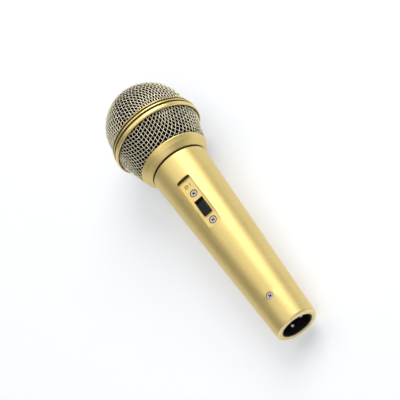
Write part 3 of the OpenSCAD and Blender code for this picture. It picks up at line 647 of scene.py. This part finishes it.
def quarter_net(pole, skin, keep):
    """All crossings of one quarter, by their column and row from the pole."""
    net = {(i, 0): p for i, p in enumerate(straight_wire(pole, (1, 0, 0), skin, keep))}
    net.update({(0, j): p for j, p in enumerate(straight_wire(pole, (0, 1, 0), skin, keep))})
    for total in range(2, MOST_ROWS):
        for i in range(1, total):
            j = total - i
            sides = [net.get(k) for k in ((i - 1, j), (i, j - 1), (i - 1, j - 1))]
            if any(p is None for p in sides) or not (keep(sides[0]) or keep(sides[1])):
                continue
            grown = min(1.0, math.hypot(i, j) * PITCH / SLIP_GROWS_OVER)
            slant = 2 * i * j / (i * i + j * j) * grown
            p = crossing(sides[0], sides[1], sides[0] + sides[1] - sides[2], skin,
                         PITCH * (1 + SLIP * slant))
            if p is not None:
                net[i, j] = p
    return net


print("wire of %.2f mm, woven at %.1f mm" % (2 * WIRE_R, PITCH))

# %% The dome's skin, in millimetres on the microphone's own axis
_, dome_high, _ = reach("upper_grille")
dome_r = (nodes["upper_grille"].dimensions.y / MM) / 2
dome_mid_r = dome_r - 2 * WIRE_R
dome_z = dome_high - dome_r


def dome_skin(p):
    """Distance from the dome's middle surface and the way out: a ball on a straight tube."""
    v = np.array([p[0], p[1], max(p[2] - dome_z, 0.0)])
    far = np.linalg.norm(v)
    return far - dome_mid_r, v / far


print("dome of radius %.1f mm" % dome_mid_r)

# %% The bowl's skin
# The wall slopes from its foot, just above the collar's lip, to its top, inside the band. The
# wires' middle line lies one wire inside that, and a corner joins it to the flat bottom.
BOWL_TOP_WIDER = 0.6
FOOT_ABOVE_LIP = 1.6
FOOT_DRAWN_IN = 4.2
FOOT_WIDER = 0.3
CORNER_R = 4.0
CORNER_ABOVE_LIP = 3.6
bowl_top_r = dome_r + BOWL_TOP_WIDER
foot_z = collar_high + FOOT_ABOVE_LIP
foot_r = bowl_top_r - FOOT_DRAWN_IN
slope = math.atan((bowl_top_r - foot_r) / (band_foot - foot_z))
corner_z = collar_high + CORNER_ABOVE_LIP
corner_out = foot_r + FOOT_WIDER - 2 * WIRE_R / math.cos(slope) - CORNER_R * math.cos(slope)


def bowl_skin(p):
    """The same for the bowl, which is a cup: flat bottom, rounded corner, sloping wall."""
    r = math.hypot(p[0], p[1])
    out = np.array([p[0] / r, p[1] / r, 0.0]) if r > 1e-9 else np.array([1.0, 0.0, 0.0])
    up = np.array([0.0, 0.0, 1.0])
    dr, dz = r - corner_out, p[2] - corner_z
    if dr <= 0 and dz < 0:
        return -dz - CORNER_R, -up
    if dz * math.cos(slope) + dr * math.sin(slope) < 0:
        far = math.hypot(dr, dz)
        return far - CORNER_R, (out * dr + up * dz) / far
    normal = out * math.cos(slope) - up * math.sin(slope)
    return dr * math.cos(slope) - dz * math.sin(slope) - CORNER_R, normal


print("bowl's wall slopes %.0f degrees from the axis" % math.degrees(slope))

# %% Follow one wire over and under the others
# WAVE is the share of a wire's radius by which it rises, and each stretch between two crossings
# gets a few points.
WAVE = 0.8
STEPS = 3


def wire_crossings(net, row, across):
    """The crossings of one wire by their place along it, mirrored from the quarter net."""
    longest = max(i for i, j in net) + 1
    found = {}
    for i in range(-longest, longest + 1):
        p = net.get((abs(row), abs(i)) if across else (abs(i), abs(row)))
        if p is not None:
            x, y = (row, i) if across else (i, row)
            found[i] = np.array([math.copysign(p[0], x) if x else 0.0,
                                 math.copysign(p[1], y) if y else 0.0, p[2]])
    return found


def wire_runs(net, skin, row, across, shown):
    """One wire from end to end, with its rise and fall over the crossings, as runs of points."""
    found = wire_crossings(net, row, across)
    runs = [[]]
    for i in sorted(found):
        if i + 1 not in found:
            continue
        side = 1 if (i + row) % 2 == (0 if across else 1) else -1
        for part in (k / STEPS for k in range(STEPS)):
            p = found[i] * (1 - part) + found[i + 1] * part
            off, normal = skin(p)
            rise = side * WIRE_R * WAVE * math.cos(math.pi * part)
            p = p - normal * off + normal * rise
            if shown(p):
                runs[-1].append(p)
            elif runs[-1]:
                runs.append([])
    return [run for run in runs if len(run) > 1]


print("a wire rises %.2f mm over each crossing" % (WIRE_R * WAVE))


# %% Helpers for new pieces
def select(*pieces):
    """Select these pieces alone. The first one is the active one."""
    bpy.ops.object.select_all(action="DESELECT")
    for piece in pieces:
        piece.select_set(True)
    bpy.context.view_layer.objects.active = pieces[0]


def lay(piece, finish):
    """Lay a piece down with the microphone, and give it its finish."""
    piece.matrix_world = lay_down @ piece.matrix_world
    select(piece)
    bpy.ops.object.transform_apply(location=True, rotation=True, scale=True)
    piece.data.materials.clear()
    piece.data.materials.append(bpy.data.materials[finish])
    return piece


# %% Make all wires of a grille one mesh
def woven(name, net, skin, shown, turn):
    """All wires of one grille as one piece, turned round the axis and laid down."""
    curve = bpy.data.curves.new(name, "CURVE")
    curve.dimensions = "3D"
    curve.bevel_depth = WIRE_R * MM
    curve.bevel_resolution = 1
    curve.use_fill_caps = True
    rows = max(i for i, j in net)
    runs = [run for across in (False, True) for row in range(-rows, rows + 1)
            for run in wire_runs(net, skin, row, across, shown)]
    for run in runs:
        spline = curve.splines.new("POLY")
        spline.points.add(len(run) - 1)
        for point, p in zip(spline.points, run):
            point.co = (*(p * MM), 1.0)
    piece = bpy.data.objects.new(name, curve)
    bpy.context.scene.collection.objects.link(piece)
    select(piece)
    bpy.ops.object.convert(target="MESH")
    piece = bpy.context.object
    rise = piece.data.attributes.new("rise", "FLOAT", "POINT")
    for vertex, value in zip(piece.data.vertices, rise.data):
        value.value = skin(np.array(vertex.co) / MM)[0] / (2 * WIRE_R)
    piece.matrix_world = Matrix.Rotation(math.radians(turn), 4, "Z")
    lay(piece, "grille_wire")
    bpy.ops.object.shade_smooth()
    print(name, "has", len(runs), "wires and", len(piece.data.polygons), "faces")
    return piece


# %% Weave the dome
# The band hides the ends of the wires, which stop a little way from its split.
DOME_TURN = -14.0
END_GAP = 0.4
dome_net = quarter_net(np.array([0, 0, dome_z + dome_mid_r]), dome_skin,
                       lambda p: p[2] > band_split)
dome_weave = woven("dome_weave", dome_net, dome_skin,
                   lambda p: p[2] > band_split + END_GAP, DOME_TURN)
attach(dome_weave, "head")
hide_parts("upper_grille")

# %% Weave the bowl, without the flat bottom, where the capsule passes
BOWL_TURN = -10.0
CORNER_START = 2.0
bowl_net = quarter_net(np.array([0, 0, corner_z - CORNER_R]), bowl_skin,
                       lambda p: p[2] < band_split)
bowl_weave = woven("bowl_weave", bowl_net, bowl_skin,
                   lambda p: collar_high - END_GAP < p[2] < band_split - END_GAP
                   and math.hypot(p[0], p[1]) > corner_out + CORNER_START, BOWL_TURN)
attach(bowl_weave, "head")
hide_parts("lower_grille")

# %% [markdown]
# ## The foam lining
# A shell of soft black foam fills the head just inside the wires. It is turned from one outline:
# a line of points drawn out step by step, swept round the axis, and closed where it meets itself.

# %% The foam's outline, as radius and height in millimetres
FOAM_WALL = 3.6
FOAM_GAP = 0.25
FOAM_FOOT_GAP = 0.9
FOAM_LIFT = 0.1
ARC_STEP = 6
foam_low, foam_top, _ = reach("foam_sleeve")
foam_r = dome_mid_r - 2 * WIRE_R - FOAM_GAP
foam_foot_r = foot_r - 4 * WIRE_R - FOAM_FOOT_GAP
shoulder_z = min(foam_low + (foam_r - foam_foot_r) / math.tan(slope), foam_top)


def arc(radius, degrees):
    return [(radius * math.cos(a), dome_z + radius * math.sin(a))
            for a in (math.radians(d) for d in degrees)]


outline = [(foam_foot_r - FOAM_WALL, foam_low + FOAM_LIFT), (foam_foot_r, foam_low + FOAM_LIFT),
           (foam_r, shoulder_z)]
outline += arc(foam_r, range(0, 91, ARC_STEP))
outline += arc(foam_r - FOAM_WALL, range(90, -1, -ARC_STEP))
outline += [(foam_r - FOAM_WALL, shoulder_z)]
print("outline of", len(outline), "points")


# %% Turn the foam lining
def turned(name, outline, steps=72):
    """A solid swept round the axis from an outline of (radius, height) in millimetres."""
    bpy.ops.object.select_all(action="DESELECT")
    bpy.ops.mesh.primitive_plane_add(size=MM)
    piece = bpy.context.object
    piece.name = piece.data.name = name
    bpy.ops.object.mode_set(mode="EDIT")
    bpy.ops.mesh.select_all(action="SELECT")
    bpy.ops.mesh.merge(type="CENTER")
    r, z = outline[0]
    bpy.ops.transform.translate(value=(r * MM, 0, z * MM))
    for (r0, z0), (r1, z1) in zip(outline, outline[1:] + outline[:1]):
        bpy.ops.mesh.extrude_region_move(
            TRANSFORM_OT_translate={"value": ((r1 - r0) * MM, 0, (z1 - z0) * MM)})
    bpy.ops.mesh.select_all(action="SELECT")
    bpy.ops.mesh.remove_doubles(threshold=1e-7)
    bpy.ops.mesh.spin(steps=steps, angle=2 * math.pi, center=(0, 0, 0), axis=(0, 0, 1))
    bpy.ops.mesh.select_all(action="SELECT")
    bpy.ops.mesh.remove_doubles(threshold=1e-6)
    bpy.ops.mesh.normals_make_consistent(inside=False)
    bpy.ops.object.mode_set(mode="OBJECT")
    return piece


foam_lining = lay(turned("foam_lining", outline), "foam")
bpy.ops.object.shade_smooth_by_angle(angle=math.radians(40))
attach(foam_lining, "foam")
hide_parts("foam_sleeve", "foam_dome")
print("foam lining:", len(foam_lining.data.polygons), "faces, from", round(foam_low, 1), "mm up")

# %% [markdown]
# ## The switch knob
# The knob is a small block with softened edges and six thumb ribs. Its stem goes down through
# the slot to a guide plate under the recess. Each block is a cube that is scaled, then bevelled.

# %% Measure the slider and its knob, which is the part that stands furthest out
KNOB_TOP = 0.5
knob_out, plate_side, guide_span = span("switch_slider")
_, knob_side, knob_span = span("switch_slider", above=knob_out[1] - KNOB_TOP)
knob_w = knob_side[1] - knob_side[0]
knob_len = knob_span[1] - knob_span[0]
knob_z = sum(knob_span) / 2
print("knob %.1f by %.1f mm" % (knob_w, knob_len))


# %% Build the knob
def block(name, low, high, soften, segments=2):
    """A cube between two corners in millimetres, with softened edges."""
    bpy.ops.object.select_all(action="DESELECT")
    middle = [(a + b) / 2 * MM for a, b in zip(low, high)]
    bpy.ops.mesh.primitive_cube_add(size=1.0, location=middle)
    piece = bpy.context.object
    piece.name = piece.data.name = name
    bpy.ops.transform.resize(value=[(b - a) * MM for a, b in zip(low, high)])
    bpy.ops.object.transform_apply(location=True, rotation=True, scale=True)
    bpy.ops.object.mode_set(mode="EDIT")
    bpy.ops.mesh.select_all(action="SELECT")
    bpy.ops.mesh.bevel(offset=soften * MM, segments=segments, affect="EDGES")
    bpy.ops.object.mode_set(mode="OBJECT")
    return piece


RIBS = 6
RIB_H = 0.35
RIB_SUNK = 0.3
RIB_MARGIN = 0.25
PLATE_T = 0.9
rib_pitch = knob_len / RIBS
rib_foot = knob_out[1] - RIB_H
rib_side = knob_w / 2 - RIB_MARGIN
knob = block("switch_knob", (knob_out[0], -knob_w / 2, knob_z - knob_len / 2),
             (rib_foot, knob_w / 2, knob_z + knob_len / 2), soften=0.3, segments=3)
ribs = [block("rib", (rib_foot - RIB_SUNK, -rib_side, z - rib_pitch / 4),
              (knob_out[1], rib_side, z + rib_pitch / 4), soften=0.15)
        for z in (knob_z + (i - (RIBS - 1) / 2) * rib_pitch for i in range(RIBS))]
guide = block("guide", (knob_out[0], plate_side[0], guide_span[0]),
              (knob_out[0] + PLATE_T, plate_side[1], guide_span[1]), soften=0.1, segments=1)
select(knob, *ribs, guide)
bpy.ops.object.join()
lay(knob, "plastic_black")
bpy.ops.object.shade_smooth_by_angle(angle=math.radians(35))
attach(knob, "switch_slider")
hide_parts("switch_slider")
print("knob with", len(ribs), "ribs and", len(knob.data.polygons), "faces")
